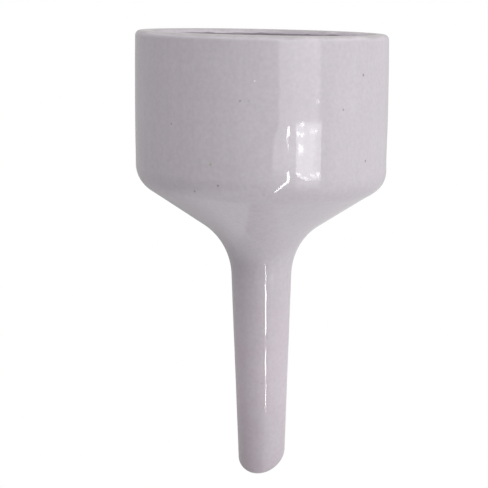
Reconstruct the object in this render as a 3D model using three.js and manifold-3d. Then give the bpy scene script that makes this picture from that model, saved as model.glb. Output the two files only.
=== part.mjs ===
// A porcelain Buchner funnel with a fixed perforated plate, in millimetres, +Z up.
//
// The origin is on the stem's axis where the neck's flare ends and the tapered stem begins. A bored rubber
// stopper grips the stem there, with its top face in the plane z = 0, so that is where the funnel is held.
//
// The five pieces are the ones the funnel is luted from with slip before it is glazed and fired:
//   stem              tapered tube with an oblique tip below and a spigot above
//   cone              lower body, with a socket for the stem, a ledge for the plate and a rounded shoulder
//   perforated_plate  filter plate, lying on the cone's ledge and standing up inside the bowl wall
//   bowl_wall         straight cylinder with a rounded rim, standing on top of the cone
//   plate_fillet      ring of slip that seals the plate's edge to the bowl wall
import * as THREE from "three";
import { mergeVertices } from "three/addons/utils/BufferGeometryUtils.js";
import Module from "manifold-3d";

const { degToRad, lerp } = THREE.MathUtils;

// Bowl
const BOWL_OUTER_RADIUS = 43;
const BOWL_WALL = 5;
const BOWL_DEPTH = 43;
const BOWL_SEAM_HEIGHT = 39;
const RIM_HEIGHT = 84;
const RIM_EDGE_RADIUS = 1.5;

// Perforated plate
const PLATE_THICKNESS = 6;
const HOLE_RADIUS = 1;
const HOLE_RINGS = 5;
const HOLE_RING_PITCH = 5.5;
const HOLES_ADDED_PER_RING = 6;

// Ring of slip round the plate
const SLIP_RADIUS = 2;
const SLIP_EDGE = 0.2;

// Cone
const SHOULDER_HEIGHT = 33.5;
const SHOULDER_FILLET = 10;
const CONE_SLOPE = degToRad(33.6);
const CONE_WALL = 4.5;
const NECK_RADIUS = 10.85;
const NECK_FILLET = 22.5;
const CHAMBER_FILLET = 18;
const LEDGE_WIDTH = 4;

// Stem
const STEM_SEAM_HEIGHT = 0;
const SPIGOT_LENGTH = 3;
const TIP_HEIGHT = -69.7;
const TIP_RADIUS = 8;
const TIP_BLUNTING = 1.1;
const BORE_TIP_RADIUS = 4.5;
const BORE_TOP_RADIUS = 6.5;
const TIP_CUT_ANGLE = degToRad(35);
const TIP_CUT_TURN = degToRad(-17);

// Gap left for the slip between pieces that fit one inside the other
const JOINT_GAP = 0.3;

// Facets
const RING_SEGMENTS = 60;
const FILLET_SEGMENTS = 6;
const HOLE_SEGMENTS = 8;

// ---- Sizes that follow from the ones above --------------------------------------------------------------

const BOWL_INNER_RADIUS = BOWL_OUTER_RADIUS - BOWL_WALL;
const PLATE_TOP = RIM_HEIGHT - BOWL_DEPTH;
const PLATE_BOTTOM = PLATE_TOP - PLATE_THICKNESS;
const PLATE_RADIUS = BOWL_INNER_RADIUS - JOINT_GAP;
const LEDGE_INNER_RADIUS = BOWL_INNER_RADIUS - LEDGE_WIDTH;

// Height of the cone's outer face at radius r.
function coneHeight(r) {
  return SHOULDER_HEIGHT - (BOWL_OUTER_RADIUS - r) * Math.tan(CONE_SLOPE);
}

// Height of the cone's inner face at radius r, one wall thickness in from the outer face.
function chamberHeight(r) {
  return coneHeight(r) + CONE_WALL / Math.cos(CONE_SLOPE);
}

// Outer radius of the tapered stem at height z.
function stemRadius(z) {
  return lerp(TIP_RADIUS, NECK_RADIUS, (z - TIP_HEIGHT) / (coneHeight(NECK_RADIUS) - TIP_HEIGHT));
}

// Radius of the tapered bore at height z.
function boreRadius(z) {
  const share = (z - TIP_HEIGHT) / (chamberHeight(BORE_TOP_RADIUS) - TIP_HEIGHT);
  return lerp(BORE_TIP_RADIUS, BORE_TOP_RADIUS, share);
}

const SPIGOT_TOP = STEM_SEAM_HEIGHT + SPIGOT_LENGTH;
const SPIGOT_RADIUS = (stemRadius(STEM_SEAM_HEIGHT) + boreRadius(STEM_SEAM_HEIGHT)) / 2;
const SOCKET_RADIUS = SPIGOT_RADIUS + JOINT_GAP;

// ---- Turned solids --------------------------------------------------------------------------------------

// Points along the arc that rounds the corner between two straight runs of an outline.
function filletPoints(before, corner, after, radius) {
  const back = before.clone().sub(corner).normalize();
  const ahead = after.clone().sub(corner).normalize();
  const halfAngle = Math.acos(back.dot(ahead)) / 2;
  const middle = back.clone().add(ahead).normalize();
  const centre = corner.clone().addScaledVector(middle, radius / Math.sin(halfAngle));
  const start = corner.clone().addScaledVector(back, radius / Math.tan(halfAngle));
  const sweep = (Math.PI - 2 * halfAngle) * Math.sign(ahead.cross(back));
  return Array.from({ length: FILLET_SEGMENTS + 1 }, (_, i) =>
    start.clone().rotateAround(centre, (sweep * i) / FILLET_SEGMENTS),
  );
}

// Turns a closed outline round the Z axis. Each corner is [radius, height] or [radius, height, fillet].
function turned(corners) {
  const at = (i) => {
    const [r, z] = corners[(i + corners.length) % corners.length];
    return new THREE.Vector2(r, z);
  };
  const points = corners.flatMap(([, , fillet], i) =>
    fillet ? filletPoints(at(i - 1), at(i), at(i + 1), fillet) : [at(i)],
  );
  points.push(points[0].clone());
  return new THREE.LatheGeometry(points, RING_SEGMENTS).rotateX(Math.PI / 2);
}

// ---- Cutting --------------------------------------------------------------------------------------------

const wasm = await Module();
wasm.setup();

function toSolid(geometry) {
  const merged = mergeVertices(geometry.clone().deleteAttribute("normal").deleteAttribute("uv"));
  return new wasm.Manifold(
    new wasm.Mesh({
      numProp: 3,
      vertProperties: merged.attributes.position.array,
      triVerts: new Uint32Array(merged.index.array),
    }),
  );
}

function toGeometry(solid) {
  const mesh = solid.getMesh();
  const geometry = new THREE.BufferGeometry();
  geometry.setAttribute("position", new THREE.BufferAttribute(mesh.vertProperties, mesh.numProp));
  geometry.setIndex(new THREE.BufferAttribute(mesh.triVerts, 1));
  geometry.computeVertexNormals();
  return geometry;
}

// ---- Pieces ---------------------------------------------------------------------------------------------

// A block whose top is the oblique face of the tip. The stem stays longest at its front, turned by
// TIP_CUT_TURN round the axis from -Y towards +X. The sharp point of the oblique cut would reach
// TIP_BLUNTING below the stem's flat end.
function tipCutter() {
  const side = 8 * TIP_RADIUS;
  return new THREE.BoxGeometry(side, side, side)
    .translate(0, 0, -side / 2)
    .rotateX(TIP_CUT_ANGLE)
    .rotateZ(TIP_CUT_TURN)
    .translate(0, 0, TIP_HEIGHT - TIP_BLUNTING + TIP_RADIUS * Math.tan(TIP_CUT_ANGLE));
}

function stemGeometry() {
  const tube = turned([
    [boreRadius(SPIGOT_TOP), SPIGOT_TOP],
    [BORE_TIP_RADIUS, TIP_HEIGHT],
    [TIP_RADIUS, TIP_HEIGHT],
    [stemRadius(STEM_SEAM_HEIGHT), STEM_SEAM_HEIGHT],
    [SPIGOT_RADIUS, STEM_SEAM_HEIGHT],
    [SPIGOT_RADIUS, SPIGOT_TOP],
  ]);
  return toGeometry(toSolid(tube).subtract(toSolid(tipCutter())));
}

function coneGeometry() {
  return turned([
    [SOCKET_RADIUS, STEM_SEAM_HEIGHT],
    [stemRadius(STEM_SEAM_HEIGHT), STEM_SEAM_HEIGHT],
    [NECK_RADIUS, coneHeight(NECK_RADIUS), NECK_FILLET],
    [BOWL_OUTER_RADIUS, SHOULDER_HEIGHT, SHOULDER_FILLET],
    [BOWL_OUTER_RADIUS, BOWL_SEAM_HEIGHT],
    [BOWL_INNER_RADIUS, BOWL_SEAM_HEIGHT],
    [BOWL_INNER_RADIUS, PLATE_BOTTOM],
    [LEDGE_INNER_RADIUS, PLATE_BOTTOM],
    [LEDGE_INNER_RADIUS, chamberHeight(LEDGE_INNER_RADIUS)],
    [BORE_TOP_RADIUS, chamberHeight(BORE_TOP_RADIUS), CHAMBER_FILLET],
    [boreRadius(SPIGOT_TOP), SPIGOT_TOP],
    [SOCKET_RADIUS, SPIGOT_TOP],
  ]);
}

function bowlWallGeometry() {
  return turned([
    [BOWL_INNER_RADIUS, BOWL_SEAM_HEIGHT],
    [BOWL_OUTER_RADIUS, BOWL_SEAM_HEIGHT],
    [BOWL_OUTER_RADIUS, RIM_HEIGHT, RIM_EDGE_RADIUS],
    [BOWL_INNER_RADIUS, RIM_HEIGHT, RIM_EDGE_RADIUS],
  ]);
}

// Evenly spaced points on a circle in the plane of the plate.
function circle(centre, radius, count) {
  return Array.from({ length: count }, (_, i) => {
    const angle = (2 * Math.PI * i) / count;
    return new THREE.Vector2(radius * Math.cos(angle), radius * Math.sin(angle)).add(centre);
  });
}

function plateGeometry() {
  const middle = new THREE.Vector2();
  const holeCentres = [middle];
  for (let ring = 1; ring <= HOLE_RINGS; ring++) {
    holeCentres.push(...circle(middle, ring * HOLE_RING_PITCH, ring * HOLES_ADDED_PER_RING));
  }
  const disc = new THREE.Shape(circle(middle, PLATE_RADIUS, RING_SEGMENTS));
  disc.holes = holeCentres.map((centre) => new THREE.Path(circle(centre, HOLE_RADIUS, HOLE_SEGMENTS)));
  const extrusion = { depth: PLATE_THICKNESS, bevelEnabled: false };
  return new THREE.ExtrudeGeometry(disc, extrusion).translate(0, 0, PLATE_BOTTOM);
}

function plateFilletGeometry() {
  return turned([
    [PLATE_RADIUS - SLIP_RADIUS, PLATE_TOP],
    [PLATE_RADIUS, PLATE_TOP],
    [PLATE_RADIUS, PLATE_TOP + SLIP_RADIUS],
    [PLATE_RADIUS - SLIP_EDGE, PLATE_TOP + SLIP_RADIUS],
    [PLATE_RADIUS - SLIP_EDGE, PLATE_TOP + SLIP_EDGE, SLIP_RADIUS - 2 * SLIP_EDGE],
    [PLATE_RADIUS - SLIP_RADIUS, PLATE_TOP + SLIP_EDGE],
  ]);
}

// ---- Assembly -------------------------------------------------------------------------------------------

const porcelain = new THREE.MeshStandardMaterial({ color: 0xdad4db, roughness: 0.15, metalness: 0 });

function piece(name, geometry) {
  const mesh = new THREE.Mesh(geometry, porcelain);
  mesh.name = name;
  return mesh;
}

const funnel = new THREE.Group();
funnel.add(
  piece("stem", stemGeometry()),
  piece("cone", coneGeometry()),
  piece("perforated_plate", plateGeometry()),
  piece("bowl_wall", bowlWallGeometry()),
  piece("plate_fillet", plateFilletGeometry()),
);

export default funnel;
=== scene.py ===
"""Looks of a glazed porcelain Buchner funnel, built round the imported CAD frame. Metres, +Z up, -Y in front.

Each visible piece is a fine closed mesh that stands for one CAD node and follows its shape. Neighbours meet
on the CAD's seams with the same radius and slope, so the fired funnel reads as one glazed body. Lengths
below are in millimetres until a mesh or a light is made.
"""

import math

import bpy
import numpy as np
from mathutils import Matrix, Vector, geometry


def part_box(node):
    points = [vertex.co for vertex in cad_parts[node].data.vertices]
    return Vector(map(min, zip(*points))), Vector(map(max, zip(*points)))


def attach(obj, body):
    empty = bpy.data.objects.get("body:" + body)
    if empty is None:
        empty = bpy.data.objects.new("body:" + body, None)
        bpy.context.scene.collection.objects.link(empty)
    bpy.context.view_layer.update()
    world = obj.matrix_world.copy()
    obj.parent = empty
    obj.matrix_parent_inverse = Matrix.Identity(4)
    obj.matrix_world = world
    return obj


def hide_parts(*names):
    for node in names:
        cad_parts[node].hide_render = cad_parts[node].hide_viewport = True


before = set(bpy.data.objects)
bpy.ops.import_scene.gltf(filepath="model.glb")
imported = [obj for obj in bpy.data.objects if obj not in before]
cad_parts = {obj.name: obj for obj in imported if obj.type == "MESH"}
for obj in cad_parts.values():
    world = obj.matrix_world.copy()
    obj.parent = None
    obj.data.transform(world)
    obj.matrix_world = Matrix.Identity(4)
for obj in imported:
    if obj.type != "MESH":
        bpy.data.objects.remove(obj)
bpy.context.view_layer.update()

MM = 0.001
BODY = "root"

# ---- Sizes from the frame ---------------------------------------------------------------------------------


def box_mm(node):
    """Lowest and highest corner of a CAD node, in millimetres."""
    low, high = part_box(node)
    return low / MM, high / MM


BOWL_LOW, BOWL_HIGH = box_mm("bowl_wall")
PLATE_LOW, PLATE_HIGH = box_mm("perforated_plate")
STEM_LOW, STEM_HIGH = box_mm("stem")

BOWL_RADIUS = BOWL_HIGH.x
RIM_Z = BOWL_HIGH.z
BOWL_SEAM_Z = BOWL_LOW.z
STEM_SEAM_Z = box_mm("cone")[0].z
SPIGOT_TOP_Z = STEM_HIGH.z
TIP_Z = STEM_LOW.z
PLATE_RADIUS = PLATE_HIGH.x
PLATE_BOTTOM_Z = PLATE_LOW.z
PLATE_TOP_Z = PLATE_HIGH.z
SLIP_TOP_Z = box_mm("plate_fillet")[1].z

# ---- Sizes that boxes don't give, as in the CAD -----------------------------------------------------------

BOWL_WALL = 5
RIM_EDGE_RADIUS = 1.5
SHOULDER_Z = 33.5
SHOULDER_FILLET = 10
CONE_SLOPE = math.radians(33.6)
CONE_WALL = 4.5
NECK_RADIUS = 10.85
NECK_FILLET = 22.5
CHAMBER_FILLET = 18
LEDGE_WIDTH = 4
TIP_RADIUS = 8
TIP_BLUNTING = 1.1
TIP_CUT_ANGLE = math.radians(35)
TIP_CUT_TURN = math.radians(-17)
BORE_TIP_RADIUS = 4.5
BORE_TOP_RADIUS = 6.5
HOLE_RADIUS = 1
HOLE_RINGS = 5
HOLE_RING_PITCH = 5.5
HOLES_ADDED_PER_RING = 6

# Edges that glaze and wear round more than the CAD does
WORN_RIM_RADIUS = 1.8
TIP_OUTER_ROUND = 1
TIP_INNER_ROUND = 0.8
HOLE_EDGE_ROUND = 0.35

BOWL_INNER_RADIUS = BOWL_RADIUS - BOWL_WALL
LEDGE_INNER_RADIUS = BOWL_INNER_RADIUS - LEDGE_WIDTH
SLIP_RADIUS = SLIP_TOP_Z - PLATE_TOP_Z


def cone_z(r):
    """Height of the cone's outer face at radius r."""
    return SHOULDER_Z - (BOWL_RADIUS - r) * math.tan(CONE_SLOPE)


def chamber_z(r):
    """Height of the cone's inner face at radius r."""
    return cone_z(r) + CONE_WALL / math.cos(CONE_SLOPE)


STEM_TAPER = (NECK_RADIUS - TIP_RADIUS) / (cone_z(NECK_RADIUS) - TIP_Z)
BORE_TAPER = (BORE_TOP_RADIUS - BORE_TIP_RADIUS) / (chamber_z(BORE_TOP_RADIUS) - TIP_Z)


def stem_radius(z):
    """Outer radius of the tapered stem at height z."""
    return TIP_RADIUS + STEM_TAPER * (z - TIP_Z)


def bore_radius(z):
    """Radius of the tapered bore at height z."""
    return BORE_TIP_RADIUS + BORE_TAPER * (z - TIP_Z)


SPIGOT_RADIUS = (stem_radius(STEM_SEAM_Z) + bore_radius(STEM_SEAM_Z)) / 2

# ---- Camera -----------------------------------------------------------------------------------------------


LENS = 101.4
SENSOR = 36
CAMERA_DISTANCE = 470
CAMERA_ABOVE_RIM = 12.18
CAMERA_DOWN = math.radians(10.26)
CAMERA_TURN = math.radians(0.741)


def add_camera():
    """A long lens in front of the funnel, a little above its rim."""
    data = bpy.data.cameras.new("camera")
    data.lens = LENS
    data.sensor_width = SENSOR
    camera = bpy.data.objects.new("camera", data)
    camera.location = Vector((0, -CAMERA_DISTANCE, RIM_Z + CAMERA_ABOVE_RIM)) * MM
    camera.rotation_euler = (math.pi / 2 - CAMERA_DOWN, 0, CAMERA_TURN)
    bpy.context.scene.collection.objects.link(camera)
    bpy.context.scene.camera = camera


# ---- Hand-made unevenness ---------------------------------------------------------------------------------


def smooth_step(value, low, high):
    """0 below the low end, 1 above the high end, and a smooth rise between them."""
    share = np.clip((value - low) / (high - low), 0, 1)
    return share * share * (3 - 2 * share)


def waves(points, seed, count, shortest, longest, slope):
    """A sum of random plane waves, in millimetres, whose surface slopes are about the given slope."""
    rng = np.random.default_rng(seed)
    total = np.zeros(points.shape[:-1])
    for _ in range(count):
        length = rng.uniform(shortest, longest)
        direction = unit(rng.normal(size=3))
        phase = rng.uniform(0, 2 * np.pi)
        total += length / (2 * np.pi) * np.cos(2 * np.pi * (points @ direction) / length + phase)
    return total * slope * math.sqrt(2 / count)


# The lean is a slope, the rest is in millimetres. The bowl leans fully from LEANING_Z up, and pushes outwards
# die away inside CALM_RADIUS.
BOWL_LEAN = 0.019
SHOULDER_SWAY = 0.28
TIP_SWAY = 0.16
BARREL = 0.25
BARREL_HALF_HEIGHT = 24
BARREL_LIMIT = 0.12
SHOULDER_SOFTENING = 0.55
SHOULDER_SHARPENING = 0.4
SOFTENED_BAND = 12
SHARPENED_BAND = 4
LEANING_Z = 28
CALM_RADIUS = 6


def settle(points):
    """Moves points as clay and fire do. The bowl leans to +X on its neck, the shoulder sways to -X and the
    tip to +X, the wall is a little barrelled, and every face ripples. The shoulder is softer at the front
    and crisper on the right than the turned outline."""
    x, y, z = points[..., 0], points[..., 1], points[..., 2]
    push = waves(points, seed=4, count=24, shortest=22, longest=45, slope=0.003)
    push += waves(points, seed=9, count=40, shortest=7, longest=15, slope=0.005)
    from_middle = z - (RIM_Z - BARREL_HALF_HEIGHT)
    barrel = BARREL * (from_middle / BARREL_HALF_HEIGHT) ** 2
    barrel = np.where(from_middle < 0, np.minimum(barrel, BARREL_LIMIT), barrel)
    push -= barrel * smooth_step(z, STEM_SEAM_Z, SHOULDER_Z / 2)
    out = np.maximum(np.hypot(x, y), CALM_RADIUS)
    front, right = np.maximum(-y / out, 0) ** 2, np.maximum(x / out, 0) ** 2
    above, below = SHOULDER_Z + SOFTENED_BAND, SHOULDER_Z - SOFTENED_BAND
    soft = smooth_step(z, below, SHOULDER_Z) * (1 - smooth_step(z, SHOULDER_Z, above))
    push -= SHOULDER_SOFTENING * front * soft
    push += SHOULDER_SHARPENING * right * np.exp(-((z - SHOULDER_Z) / SHARPENED_BAND) ** 2)
    grow = 1 + push / out
    lean = BOWL_LEAN * smooth_step(z, STEM_SEAM_Z, LEANING_Z)
    sway = TIP_SWAY * (1 - smooth_step(z, TIP_Z, STEM_SEAM_Z))
    sway -= SHOULDER_SWAY * smooth_step(z, STEM_SEAM_Z, SHOULDER_Z) * (1 - smooth_step(z, SHOULDER_Z, RIM_Z))
    return np.stack([x * grow + sway, y * grow, z - lean * x], -1)


# ---- Meshes -----------------------------------------------------------------------------------------------


FEWEST_ARC_STEPS = 6


def unit(v):
    """Vectors along the last axis, scaled to length 1."""
    return v / np.linalg.norm(v, axis=-1, keepdims=True)


def rounded_outline(corners, step):
    """Points along a closed outline of (radius, height, fillet) corners, about one step apart.

    Radius and height are numbers, or arrays with one value for each angle round the axis. Returns an array of
    points by angles by (radius, height), and the rows that are sharp corners.
    """
    angles = max(np.size(value) for corner in corners for value in corner[:2])
    places = [np.stack([np.broadcast_to(value, angles) for value in corner[:2]], -1) for corner in corners]
    stretches = []
    for i, (corner, (_, _, fillet)) in enumerate(zip(places, corners)):
        back = unit(places[i - 1] - corner)
        ahead = unit(places[(i + 1) % len(places)] - corner)
        if not fillet:
            stretches.append([corner])
            continue
        half = np.arccos(np.clip((back * ahead).sum(-1, keepdims=True), -1, 1)) / 2
        centre = corner + unit(back + ahead) * fillet / np.sin(half)
        start = corner + back * fillet / np.tan(half) - centre
        end = corner + ahead * fillet / np.tan(half) - centre
        sweep = np.pi - 2 * half
        count = max(FEWEST_ARC_STEPS, math.ceil(float(sweep.max()) * fillet / step))
        arc = []
        for share in np.linspace(0, 1, count + 1):
            turn = np.sin((1 - share) * sweep) * start + np.sin(share * sweep) * end
            arc.append(centre + turn / np.sin(sweep))
        stretches.append(arc)
    rows, sharp = [], []
    for i, stretch in enumerate(stretches):
        if len(stretch) == 1:
            sharp.append(len(rows))
        rows += stretch
        start, end = stretch[-1], stretches[(i + 1) % len(stretches)][0]
        count = max(1, math.ceil(float(np.linalg.norm(end - start, axis=-1).max()) / step))
        rows += [start + (end - start) * share for share in np.linspace(0, 1, count + 1)[1:-1]]
    return np.stack(rows), sharp


def mesh_piece(name, points, faces, sharp_edges):
    """A shown piece from points in millimetres. It keeps each point's unwarped height, in millimetres."""
    mesh = bpy.data.meshes.new(name)
    mesh.from_pydata(settle(points) * MM, [], faces)
    mesh.shade_smooth()
    height = mesh.attributes.new("height", "FLOAT", "POINT")
    height.data.foreach_set("value", points[:, 2].astype(np.float32))
    sharp = {tuple(sorted(edge)) for edge in sharp_edges}
    for edge in mesh.edges:
        edge.use_edge_sharp = tuple(sorted(edge.vertices)) in sharp
    piece = bpy.data.objects.new(name, mesh)
    bpy.context.scene.collection.objects.link(piece)
    return piece


def turned(name, corners, step=0.6, segments=360):
    """A closed solid turned round the Z axis from an outline whose corners go round it clockwise, radius to
    the right. Angles start at -Y and go towards +X."""
    rows, sharp_rows = rounded_outline(corners, step)
    angles = np.arange(segments) * 2 * np.pi / segments
    radius = np.broadcast_to(rows[..., 0], (len(rows), segments))
    height = np.broadcast_to(rows[..., 1], (len(rows), segments))
    points = np.stack([radius * np.sin(angles), -radius * np.cos(angles), height], -1)
    ring = np.arange(len(rows))[:, None] * segments
    next_ring = np.roll(ring, -1, axis=0)
    here = np.arange(segments)[None, :]
    ahead = (here + 1) % segments
    faces = np.stack([ring + here, next_ring + here, next_ring + ahead, ring + ahead], -1)
    sharp_edges = [(row * segments + i, row * segments + (i + 1) % segments)
                   for row in sharp_rows for i in range(segments)]
    return mesh_piece(name, points.reshape(-1, 3), faces.reshape(-1, 4), sharp_edges)


# ---- Pieces -----------------------------------------------------------------------------------------------


def bowl_wall():
    """The straight wall and its rounded lip."""
    return turned("bowl_wall_glazed", [
        (BOWL_INNER_RADIUS, BOWL_SEAM_Z, 0),
        (BOWL_INNER_RADIUS, RIM_Z, RIM_EDGE_RADIUS),
        (BOWL_RADIUS, RIM_Z, WORN_RIM_RADIUS),
        (BOWL_RADIUS, BOWL_SEAM_Z, 0),
    ])


def cone():
    """The shoulder, cone and neck, with the chamber, the plate's ledge and the stem's socket inside."""
    return turned("cone_glazed", [
        (SPIGOT_RADIUS, STEM_SEAM_Z, 0),
        (SPIGOT_RADIUS, SPIGOT_TOP_Z, 0),
        (bore_radius(SPIGOT_TOP_Z), SPIGOT_TOP_Z, 0),
        (BORE_TOP_RADIUS, chamber_z(BORE_TOP_RADIUS), CHAMBER_FILLET),
        (LEDGE_INNER_RADIUS, chamber_z(LEDGE_INNER_RADIUS), 0),
        (LEDGE_INNER_RADIUS, PLATE_BOTTOM_Z, 0),
        (BOWL_INNER_RADIUS, PLATE_BOTTOM_Z, 0),
        (BOWL_INNER_RADIUS, BOWL_SEAM_Z, 0),
        (BOWL_RADIUS, BOWL_SEAM_Z, 0),
        (BOWL_RADIUS, SHOULDER_Z, SHOULDER_FILLET),
        (NECK_RADIUS, cone_z(NECK_RADIUS), NECK_FILLET),
        (stem_radius(STEM_SEAM_Z), STEM_SEAM_Z, 0),
    ])


def stem():
    """The tapered tube, its spigot and the oblique face of its tip."""
    segments = 240
    angles = np.arange(segments) * 2 * np.pi / segments
    steepness = math.tan(TIP_CUT_ANGLE) * np.cos(angles - TIP_CUT_TURN)
    cut_z = TIP_Z - TIP_BLUNTING + TIP_RADIUS * math.tan(TIP_CUT_ANGLE)

    def cut_place(radius_at, taper):
        """Radius and height, at each angle, where a tapered wall meets the oblique face of the tip."""
        z = (cut_z - steepness * radius_at(0)) / (1 + steepness * taper)
        return radius_at(z), z

    return turned("stem_glazed", [
        (SPIGOT_RADIUS, SPIGOT_TOP_Z, 0),
        (SPIGOT_RADIUS, STEM_SEAM_Z, 0),
        (stem_radius(STEM_SEAM_Z), STEM_SEAM_Z, 0),
        (*cut_place(stem_radius, STEM_TAPER), TIP_OUTER_ROUND),
        (*cut_place(bore_radius, BORE_TAPER), TIP_INNER_ROUND),
        (bore_radius(SPIGOT_TOP_Z), SPIGOT_TOP_Z, 0),
    ], segments=segments)


def slip_ring():
    """The quarter-round of slip between the plate and the wall, sunk a little into both."""
    sink = 0.3
    edge = 0.05
    wall = BOWL_INNER_RADIUS
    return turned("slip_ring_glazed", [
        (wall - SLIP_RADIUS, PLATE_TOP_Z - sink, 0),
        (wall - SLIP_RADIUS, PLATE_TOP_Z + edge, 0),
        (wall - edge, PLATE_TOP_Z + edge, SLIP_RADIUS - 2 * edge),
        (wall - edge, SLIP_TOP_Z, 0),
        (wall + sink, SLIP_TOP_Z, 0),
        (wall + sink, PLATE_TOP_Z - sink, 0),
    ], step=0.3)


def circle(centre, radius, count):
    """Evenly spaced points on a circle in the plane of the plate."""
    angles = np.arange(count) * 2 * np.pi / count
    return np.stack([centre[0] + radius * np.cos(angles), centre[1] + radius * np.sin(angles)], -1)


def hole_centres():
    """The middle hole and the rings of holes round it."""
    rings = [circle((0, 0), ring * HOLE_RING_PITCH, ring * HOLES_ADDED_PER_RING)
             for ring in range(1, HOLE_RINGS + 1)]
    return np.concatenate([np.zeros((1, 2)), *rings])


def plate():
    """The perforated plate: two flat faces joined by round-edged holes and by the plate's side."""
    hole_segments = 24
    edge_segments = 180
    round_steps = 4
    grid_step = 1.8
    centres = hole_centres()
    mouth = HOLE_RADIUS + HOLE_EDGE_ROUND
    loops = [circle((0, 0), PLATE_RADIUS, edge_segments)]
    loops += [circle(centre, mouth, hole_segments) for centre in centres]
    starts = np.cumsum([0] + [len(loop) for loop in loops])
    border = [(starts[i] + j, starts[i] + (j + 1) % len(loop))
              for i, loop in enumerate(loops) for j in range(len(loop))]
    steps = np.arange(-PLATE_RADIUS, PLATE_RADIUS, grid_step)
    grid = np.stack(np.meshgrid(steps, steps), -1).reshape(-1, 2)
    clear = np.linalg.norm(grid[:, None] - centres[None], axis=-1).min(1) > mouth + grid_step / 3
    inside = np.linalg.norm(grid, axis=-1) < PLATE_RADIUS - grid_step / 2
    flat = np.concatenate(loops + [grid[clear & inside]])
    triangles = geometry.delaunay_2d_cdt([Vector(p) for p in flat], border, [], 1, 1e-6)[2]
    triangles = np.array(triangles)
    middles = flat[triangles].mean(1)
    solid = np.linalg.norm(middles[:, None] - centres[None], axis=-1).min(1) > HOLE_RADIUS
    triangles = triangles[solid]

    def at_height(places, z):
        return np.column_stack([places, np.full(len(places), z)])

    count = len(flat)
    points = [at_height(flat, PLATE_TOP_Z), at_height(flat, PLATE_BOTTOM_Z)]
    faces = triangles.tolist() + (triangles[:, ::-1] + count).tolist()
    total = 2 * count
    turns = np.linspace(0, np.pi / 2, round_steps + 1)
    drops = HOLE_EDGE_ROUND * (1 - np.cos(turns))
    widths = mouth - HOLE_EDGE_ROUND * np.sin(turns)
    profile = list(zip(widths[1:], PLATE_TOP_Z - drops[1:]))
    profile += list(zip(widths[:0:-1], PLATE_BOTTOM_Z + drops[:0:-1]))
    for i, centre in enumerate(centres, start=1):
        rings = [np.arange(hole_segments) + starts[i]]
        for radius, z in profile:
            points.append(at_height(circle(centre, radius, hole_segments), z))
            rings.append(np.arange(hole_segments) + total)
            total += hole_segments
        rings.append(np.arange(hole_segments) + starts[i] + count)
        for upper, lower in zip(rings, rings[1:]):
            quads = np.stack([upper, lower, np.roll(lower, -1), np.roll(upper, -1)], -1)
            faces += quads[:, ::-1].tolist()
    side = np.arange(edge_segments)
    quads = np.stack([side, side + count, np.roll(side, -1) + count, np.roll(side, -1)], -1)
    faces += quads.tolist()
    sharp = [(a + lift, b + lift) for a, b in border[:edge_segments] for lift in (0, count)]
    return mesh_piece("perforated_plate_glazed", np.concatenate(points), faces, sharp)


# ---- Material ---------------------------------------------------------------------------------------------

GLAZE = (0.668, 0.618, 0.672, 1)
ROSY_GLAZE = (0.67, 0.585, 0.645, 1)
BARE_CLAY = (0.435, 0.407, 0.418, 1)
# Painted shade: colour of the dark line just inside the lip, standing for the shaded inner wall seen past the
# front lip.
INNER_WALL_SHADE = (0.25, 0.23, 0.24, 1)
IRON = (0.17, 0.15, 0.15, 1)
OLIVE = (0.40, 0.40, 0.22, 1)
PIT = (0.95, 0.92, 0.95, 1)

# Each mark is azimuth from -Y towards +X in degrees, height and radius in millimetres, strength and colour.
# It fades out between two shares of its radius, and its edge wanders by a share of its radius.
MARK_FADES = (1.3, 0.5)
MARK_RAGGEDNESS = 0.25
MARK_NOISE = 2500
MARKS = [
    (49, 71.1, 0.45, 0.60, IRON),
    (37, 60.5, 0.40, 0.50, IRON),
    (52, 43.3, 0.45, 0.65, IRON),
    (-9, 63.9, 0.35, 0.45, IRON),
    (-42, 55.8, 0.35, 0.45, IRON),
    (-31, 34.6, 0.40, 0.55, IRON),
    (-19, 37.0, 0.40, 0.55, IRON),
    (-22, 43.7, 0.50, 0.50, OLIVE),
    (-3, 70.1, 0.35, 0.80, PIT),
]

# The glaze turns rosy down the stem, in clouds and patches. Heights are in millimetres, noises per metre.
ROSY_FROM_Z = 8
ROSY_TO_Z = -25
ROSY_DRIFT = 14.0
CLOUD_NOISE = 70
PATCH_NOISE = 130
PATCH_LEVELS = (-0.5, 0.7, 0.3, 1.0)

# Unevenness of tone: share of the tone, noise per metre, its detail and its stretch.
TONES = [
    (0.05, 800, 4.0, (1, 1, 1)),
    (0.016, 300, 2.0, (1, 1, 0.06)),
    (0.008, 260, 2.0, (0.1, 0.1, 1)),
]
CLOUD_TONE = 0.015
PIN_HOLES = 200.0
PIN_HOLE_SHARE = 0.4
PIN_HOLE_FADES = (0.10, 0.05)
PIN_HOLE_TONE = -0.10
# Painted shade: the colour darkens towards the tip, down to this share at the tip, standing for the dimmer
# light low on the stem.
TIP_SHADE = 0.85
TIP_SHADE_TO_Z = TIP_Z * 0.55

# The lip, in millimetres below the rim: where it turns bare, and a dark line of painted shade just inside it,
# standing for the shaded inner wall.
LIP_WANDER = 0.25
LIP_NOISE = 160
BARE_FADES = (1.3, 0.1)
SHADE_LINE_LOWER_FADES = (2.4, 2.0)
SHADE_LINE_UPPER_FADES = (1.3, 1.6)
SHADE_LINE_STRENGTH = 0.8

# Relief and gloss
PEEL_NOISE = 420
FINE_PEEL_NOISE = 1400
FINE_PEEL = 0.15
BARE_NOISE = 2600
BARE_RELIEF = 0.8
RELIEF_HEIGHT = 0.0009
GLAZE_ROUGHNESS = 0.05
BARE_ROUGHNESS = 0.7
CLOUD_ROUGHNESS = 0.02
GLAZE_IOR = 1.52


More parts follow.
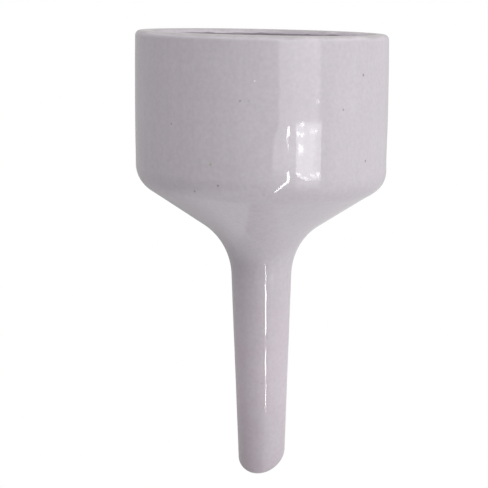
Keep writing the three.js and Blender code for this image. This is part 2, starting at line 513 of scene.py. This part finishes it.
class Graph:
    """A node tree and the few ways this scene adds to it."""

    def __init__(self, tree):
        self.nodes = tree.nodes
        self.links = tree.links

    def add(self, kind, inputs=(), **settings):
        """A new node. Inputs are (socket, number, colour or other node's output) pairs."""
        node = self.nodes.new(kind)
        for key, value in settings.items():
            setattr(node, key, value)
        for socket, value in dict(inputs).items():
            if isinstance(value, bpy.types.NodeSocket):
                self.links.new(value, node.inputs[socket])
            else:
                node.inputs[socket].default_value = value
        return node

    def noise(self, place, scale, detail=2.0, stretch=(1, 1, 1)):
        """Noise from about -1 to 1, with features about 1/scale metres wide."""
        spread = self.vector("MULTIPLY", {0: place, 1: stretch})
        made = self.add("ShaderNodeTexNoise", {"Vector": spread, "Scale": scale, "Detail": detail})
        return self.remap(made.outputs["Fac"], 0.25, 0.75, -1, 1)

    def remap(self, value, low, high, to_low=0.0, to_high=1.0, curve="LINEAR"):
        """The value moved from one range to another and kept inside it."""
        ends = {"Value": value, "From Min": low, "From Max": high, "To Min": to_low, "To Max": to_high}
        return self.add("ShaderNodeMapRange", ends, interpolation_type=curve).outputs["Result"]

    def math(self, operation, *values):
        """The result of a sum on numbers."""
        return self.add("ShaderNodeMath", dict(enumerate(values)), operation=operation).outputs["Value"]

    def vector(self, operation, inputs, result="Vector"):
        """The result of a sum on vectors or colours."""
        return self.add("ShaderNodeVectorMath", inputs, operation=operation).outputs[result]

    def mix(self, share, under, over):
        """One colour laid over another by a share."""
        ends = {"Factor": share, "A": under, "B": over}
        return self.add("ShaderNodeMix", ends, data_type="RGBA").outputs["Result"]


def around_bowl(graph, place):
    """The place moved straight out or in to a cylinder of the bowl's radius, and whether it is inside the
    middle of the bowl's wall."""
    parts = graph.add("ShaderNodeSeparateXYZ", {"Vector": place}).outputs
    flat = graph.add("ShaderNodeCombineXYZ", {"X": parts["X"], "Y": parts["Y"]}).outputs["Vector"]
    from_axis = graph.vector("LENGTH", {0: flat}, "Value")
    inside = graph.math("LESS_THAN", from_axis, (BOWL_RADIUS - BOWL_WALL / 2) * MM)
    way = graph.vector("NORMALIZE", {0: flat})
    ring = graph.vector("SCALE", {0: way, "Scale": BOWL_RADIUS * MM})
    lift = graph.add("ShaderNodeCombineXYZ", {"Z": parts["Z"]}).outputs["Vector"]
    return graph.vector("ADD", {0: ring, 1: lift}), inside


def marked(graph, colour, unrolled, outside):
    """The colour with specks and a pit on the outside of the bowl, placed on a cylinder of its radius."""
    ragged = graph.noise(unrolled, MARK_NOISE)
    for azimuth, height, radius, strength, tint in MARKS:
        turn = math.radians(azimuth)
        centre = Vector((BOWL_RADIUS * math.sin(turn), -BOWL_RADIUS * math.cos(turn), height)) * MM
        away = graph.vector("DISTANCE", {0: unrolled, 1: centre}, "Value")
        away = graph.math("MULTIPLY_ADD", ragged, radius * MARK_RAGGEDNESS * MM, away)
        faint, full = (radius * fade * MM for fade in MARK_FADES)
        share = graph.remap(away, faint, full, 0, strength, curve="SMOOTHSTEP")
        colour = graph.mix(graph.math("MULTIPLY", share, outside), colour, tint)
    return colour


def glaze_colour(graph, place, height, cloud):
    """Mauve-grey glaze that turns rosy down the stem."""
    rosy = graph.remap(graph.math("MULTIPLY_ADD", cloud, ROSY_DRIFT, height), ROSY_FROM_Z, ROSY_TO_Z)
    patches = graph.remap(graph.noise(place, PATCH_NOISE), *PATCH_LEVELS)
    return graph.mix(graph.math("MULTIPLY", rosy, patches), GLAZE, ROSY_GLAZE)


def bare_lip_and_shade_line(graph, place, height, inside):
    """How bare the lip is, and how strong the painted shade is in a dark line just inside the lip, standing
    for the shaded inner wall.
    """
    border = graph.math("MULTIPLY_ADD", graph.noise(place, LIP_NOISE), LIP_WANDER, height)

    def fade(depths):
        return graph.remap(border, RIM_Z - depths[0], RIM_Z - depths[1], curve="SMOOTHSTEP")

    shade_line = graph.math("MULTIPLY", fade(SHADE_LINE_LOWER_FADES), fade(SHADE_LINE_UPPER_FADES))
    shade_line = graph.math("MULTIPLY", inside, shade_line)
    return fade(BARE_FADES), graph.math("MULTIPLY", shade_line, SHADE_LINE_STRENGTH)


def tone_and_tip_shade(graph, place, height, cloud):
    """A factor near 1 for the colour: mottle, upright streaks, throwing rings, clouds and faint pin holes,
    times painted shade that darkens the colour towards the tip."""
    tone = 1.0
    for share, scale, detail, stretch in TONES:
        tone = graph.math("MULTIPLY_ADD", graph.noise(place, scale, detail, stretch), share, tone)
    tone = graph.math("MULTIPLY_ADD", cloud, CLOUD_TONE, tone)
    holes = graph.add("ShaderNodeTexVoronoi", {"Vector": place, "Scale": PIN_HOLES}).outputs
    lot = graph.add("ShaderNodeSeparateColor", {"Color": holes["Color"]}).outputs["Red"]
    chosen = graph.math("LESS_THAN", lot, PIN_HOLE_SHARE)
    pitted = graph.math("MULTIPLY", graph.remap(holes["Distance"], *PIN_HOLE_FADES), chosen)
    tone = graph.math("MULTIPLY_ADD", pitted, PIN_HOLE_TONE, tone)
    # Painted shade: darker towards the tip.
    return graph.math("MULTIPLY", tone, graph.remap(height, TIP_Z, TIP_SHADE_TO_Z, TIP_SHADE, 1.0))


def relief(graph, place, bare):
    """The bumped normal: the glaze's orange peel, and the grain of the bare lip."""
    coarse = graph.noise(place, PEEL_NOISE)
    peel = graph.math("MULTIPLY_ADD", graph.noise(place, FINE_PEEL_NOISE), FINE_PEEL, coarse)
    grain = graph.math("MULTIPLY", bare, BARE_RELIEF)
    height = graph.math("MULTIPLY_ADD", graph.noise(place, BARE_NOISE), grain, peel)
    bump = graph.add("ShaderNodeBump", {"Strength": 1.0, "Distance": RELIEF_HEIGHT * MM, "Height": height})
    return bump.outputs["Normal"]


def porcelain():
    """Milky glaze over pale clay. The lip is wiped bare, as the funnel is fired standing on its rim."""
    material = bpy.data.materials.new("glazed_porcelain")
    material.use_nodes = True
    graph = Graph(material.node_tree)
    place = graph.add("ShaderNodeTexCoord").outputs["Object"]
    height = graph.add("ShaderNodeAttribute", attribute_name="height").outputs["Fac"]
    cloud = graph.noise(place, CLOUD_NOISE)
    unrolled, inside = around_bowl(graph, place)
    bare, shade_line = bare_lip_and_shade_line(graph, place, height, inside)

    colour = glaze_colour(graph, place, height, cloud)
    colour = marked(graph, colour, unrolled, graph.math("SUBTRACT", 1.0, inside))
    colour = graph.mix(bare, colour, BARE_CLAY)
    # Painted shade: a dark line just inside the lip.
    colour = graph.mix(shade_line, colour, INNER_WALL_SHADE)
    colour = graph.vector("SCALE", {0: colour, "Scale": tone_and_tip_shade(graph, place, height, cloud)})
    dullness = graph.math("MULTIPLY_ADD", cloud, CLOUD_ROUGHNESS, bare)

    shader = graph.nodes["Principled BSDF"]
    shader.inputs["IOR"].default_value = GLAZE_IOR
    graph.links.new(colour, shader.inputs["Base Color"])
    graph.links.new(graph.remap(dullness, 0, 1, GLAZE_ROUGHNESS, BARE_ROUGHNESS), shader.inputs["Roughness"])
    graph.links.new(relief(graph, place, bare), shader.inputs["Normal"])
    return material


# ---- Stage ------------------------------------------------------------------------------------------------

# Brightness of the room by azimuth, from -Y towards +X in degrees. The first list is what lights the funnel.
# The second is what the glaze mirrors: the same room with its tall bright opening, the thin frames in it and
# a lighter strip behind.
ROOM = [(-165, 0.36), (-135, 0.42), (-105, 0.20), (-75, 0.02), (-45, 0.03), (-15, 0.26), (15, 0.74),
        (45, 1.17), (75, 1.05), (105, 0.77), (135, 0.65), (165, 0.72)]
MIRRORED_ROOM = [(-180, 1.1), (-176, 1.1), (-174, 0.5), (-135, 0.42), (-105, 0.20), (-75, 0.02), (-45, 0.03),
                 (-15, 0.26), (15.0, 0.70), (15.6, 2.4), (22.4, 2.3), (23.2, 0.8), (24.0, 2.5), (52, 2.7),
                 (54, 1.2), (64.1, 1.1), (65.1, 0.1), (66.1, 1.1), (75, 1.05), (105, 0.77), (135, 0.65),
                 (174, 0.58), (176, 1.1)]
# The ramps hold shares of BRIGHTEST.
BRIGHTEST = 4
ROOM_TOP = 1.38
ROOM_BELOW = 0.74

# Heights in the room are sines of the elevation.
CEILING_FADES = (0.4, 0.6)
LIT_FLOOR_FADES = (-0.6, -0.4)
MIRRORED_FLOOR_FADES = (-0.85, -0.6)
SIDESTEP = math.radians(4.5)
SIDESTEP_FADES = (-0.087, -0.113)
OPENING_LOSS = 0.85
OPENING_FADES = (-0.20, -0.28)


def room_sides(graph, compass, stops, height, floor_fades):
    """Brightness round the compass from a list of stops, between the ceiling and the floor."""
    ramp = graph.add("ShaderNodeValToRGB", {"Fac": graph.remap(compass, -math.pi, math.pi)})
    elements = ramp.color_ramp.elements
    while len(elements) < len(stops):
        elements.new(1)
    for element, (azimuth, light) in zip(elements, stops):
        element.position = (azimuth + 180) / 360
        element.color = (light / BRIGHTEST,) * 3 + (1,)
    sides = graph.vector("SCALE", {0: ramp.outputs["Color"], "Scale": float(BRIGHTEST)})
    above = graph.remap(height, *CEILING_FADES, curve="SMOOTHSTEP")
    upper = graph.mix(above, sides, (ROOM_TOP,) * 3 + (1,))
    level = graph.remap(height, *floor_fades, curve="SMOOTHSTEP")
    return graph.mix(level, (ROOM_BELOW,) * 3 + (1,), upper)


def add_world():
    """The room: brightness by the compass round the funnel, a light ceiling and a dimmer floor. The glaze
    mirrors the room with its opening, which steps aside and then fades out below eye level. The camera
    itself sees plain white paper."""
    world = bpy.data.worlds.new("room")
    world.use_nodes = True
    bpy.context.scene.world = world
    graph = Graph(world.node_tree)
    way = graph.add("ShaderNodeTexCoord").outputs["Generated"]
    parts = graph.add("ShaderNodeSeparateXYZ", {"Vector": way}).outputs
    compass = graph.math("ARCTAN2", parts["X"], graph.math("MULTIPLY", parts["Y"], -1.0))
    sidestep = graph.remap(parts["Z"], *SIDESTEP_FADES, 0, SIDESTEP, curve="SMOOTHSTEP")
    stepped = graph.math("ADD", compass, sidestep)
    path = graph.add("ShaderNodeLightPath").outputs
    lit = room_sides(graph, compass, ROOM, parts["Z"], LIT_FLOOR_FADES)
    mirrored = room_sides(graph, stepped, MIRRORED_ROOM, parts["Z"], MIRRORED_FLOOR_FADES)
    plain = room_sides(graph, compass, ROOM, parts["Z"], MIRRORED_FLOOR_FADES)
    below_opening = graph.remap(parts["Z"], *OPENING_FADES, 0, OPENING_LOSS, curve="SMOOTHSTEP")
    whole = graph.mix(path["Is Glossy Ray"], lit, graph.mix(below_opening, mirrored, plain))
    shown = graph.mix(path["Is Camera Ray"], whole, (1, 1, 1, 1))
    graph.links.new(shown, graph.nodes["Background"].inputs["Color"])


def add_panel(name, centre, along, facing, size, brightness, shown_on):
    """A lamp panel that shows only as a mirror image in the glaze of one group of pieces. Its first side lies
    along a direction. Sizes are in millimetres."""
    data = bpy.data.lights.new(name, "AREA")
    data.shape = "RECTANGLE"
    data.size, data.size_y = size[0] * MM, size[1] * MM
    data.energy = brightness * size[0] * size[1] * MM * MM * math.pi
    across = Vector(along).normalized()
    back = -Vector(facing).normalized()
    turn = Matrix((across, back.cross(across), back)).transposed()
    lamp = bpy.data.objects.new(name, data)
    lamp.matrix_world = Matrix.Translation(Vector(centre) * MM) @ turn.to_4x4()
    lamp.visible_diffuse = False
    lamp.visible_camera = False
    lamp.light_linking.receiver_collection = shown_on
    bpy.context.scene.collection.objects.link(lamp)


# The narrow opening in the room's front: pieces in one plane, as (x, z) of both ends, width and brightness.
# The bowl and cone mirror one list of them, and the stem the other.
SLIT_Y = -184
BOWL_SLIT = [
    ((71.5, 40), (72.5, 34.5), 8, 25),
    ((71.5, 31), (70, 29.5), 7, 8),
    ((69.5, 5), (72.5, -2), 6, 20),
    ((72.5, -2), (70, -8), 8, 25),
    ((70, -8), (58, -52), 7, 20),
    ((58, -52), (50, -105), 8, 16),
    ((50, -105), (43, -160), 7, 14),
]
STEM_SLIT = [
    ((50.5, -53), (53, -67), 8, 60),
    ((54, -69), (56.5, -78), 8, 50),
    ((58, -87), (60.5, -98), 8, 35),
    ((61, -103), (65, -116), 7, 30),
]

# The window, square to the glaze it shows in: panels as (across, z) of the middle, (width, height), how far
# they stand in front of it, and brightness.
WINDOW_AZIMUTH = math.radians(42)
WINDOW_DISTANCE = 200
WINDOW = [
    ((-13, 20), (76, 43), 0, 3.2),
    ((-13, -22), (76, 32), 0, 1.6),
    ((-13, -60), (76, 44), 0, 0.8),
    ((-33, 41), (12, 1), 2, 12),
    ((-39, 35.5), (20, 1.4), 2, 12),
    ((0, 38.5), (24, 0.8), 2, 8),
    ((-37, 28), (14, 3), 2, 8),
    ((-42, 1.5), (15, 3.5), 3, 7),
    ((-20, -0.5), (30, 1.2), 2, 7),
    ((6, 3.5), (24, 1.4), 2, 6),
    ((17, 6), (9, 3), 3, 6),
    ((10, 50), (13, 0.6), 2, 10),
]


def add_slit(name, parts, shown_on):
    """One lamp panel for each stretch of the opening."""
    for i, ((x0, z0), (x1, z1), width, brightness) in enumerate(parts):
        along = Vector((x1 - x0, 0, z1 - z0))
        centre = ((x0 + x1) / 2, SLIT_Y, (z0 + z1) / 2)
        add_panel(f"{name}_{i}", centre, along, (0, 1, 0), (along.length, width), brightness, shown_on)


def add_window(shown_on):
    """The window's panels, to the right of the funnel's front."""
    ahead = Vector((math.sin(WINDOW_AZIMUTH), -math.cos(WINDOW_AZIMUTH), 0))
    aside = Vector((math.cos(WINDOW_AZIMUTH), math.sin(WINDOW_AZIMUTH), 0))
    for i, ((across, z), size, step, brightness) in enumerate(WINDOW):
        centre = ahead * (WINDOW_DISTANCE - step) + aside * across + Vector((0, 0, z))
        add_panel(f"window_{i}", centre, aside, -ahead, size, brightness, shown_on)


def add_floor():
    """Pale paper under the held funnel. The camera sees it as plain white, and only from above. It takes no
    part in the funnel's light, which the room gives."""
    reach = 8
    z = -0.20
    mesh = bpy.data.meshes.new("floor")
    corners = [(x * reach, y * reach, z) for x, y in ((-1, -1), (1, -1), (1, 1), (-1, 1))]
    mesh.from_pydata(corners, [], [(0, 1, 2, 3)])
    floor = bpy.data.objects.new("floor", mesh)
    material = bpy.data.materials.new("paper")
    material.use_nodes = True
    nodes, links = material.node_tree.nodes, material.node_tree.links
    shader = nodes["Principled BSDF"]
    shader.inputs["Base Color"].default_value = (0.9, 0.9, 0.9, 1)
    shader.inputs["Roughness"].default_value = 0.9
    white = nodes.new("ShaderNodeEmission")
    path = nodes.new("ShaderNodeLightPath")
    side = nodes.new("ShaderNodeNewGeometry")
    clear = nodes.new("ShaderNodeBsdfTransparent")
    shown = shader.outputs["BSDF"]
    for share, other in (
        (path.outputs["Is Camera Ray"], white.outputs["Emission"]),
        (side.outputs["Backfacing"], clear.outputs["BSDF"]),
    ):
        mix = nodes.new("ShaderNodeMixShader")
        links.new(share, mix.inputs["Fac"])
        links.new(shown, mix.inputs[1])
        links.new(other, mix.inputs[2])
        shown = mix.outputs["Shader"]
    links.new(shown, nodes["Material Output"].inputs["Surface"])
    mesh.materials.append(material)
    floor.visible_diffuse = False
    floor.visible_glossy = False
    floor.visible_shadow = False
    bpy.context.scene.collection.objects.link(floor)


add_camera()
glaze = porcelain()
pieces = {
    "bowl_wall": bowl_wall(),
    "cone": cone(),
    "stem": stem(),
    "perforated_plate": plate(),
    "plate_fillet": slip_ring(),
}
for node, piece in pieces.items():
    piece.data.materials.append(glaze)
    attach(piece, BODY)
    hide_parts(node)
bowl_group = bpy.data.collections.new("bowl_group")
bowl_group.objects.link(pieces["bowl_wall"])
bowl_group.objects.link(pieces["cone"])
stem_group = bpy.data.collections.new("stem_group")
stem_group.objects.link(pieces["stem"])
add_world()
add_slit("bowl_slit", BOWL_SLIT, bowl_group)
add_slit("stem_slit", STEM_SLIT, stem_group)
add_window(bowl_group)
add_floor()
bpy.context.scene.view_settings.view_transform = "Standard"
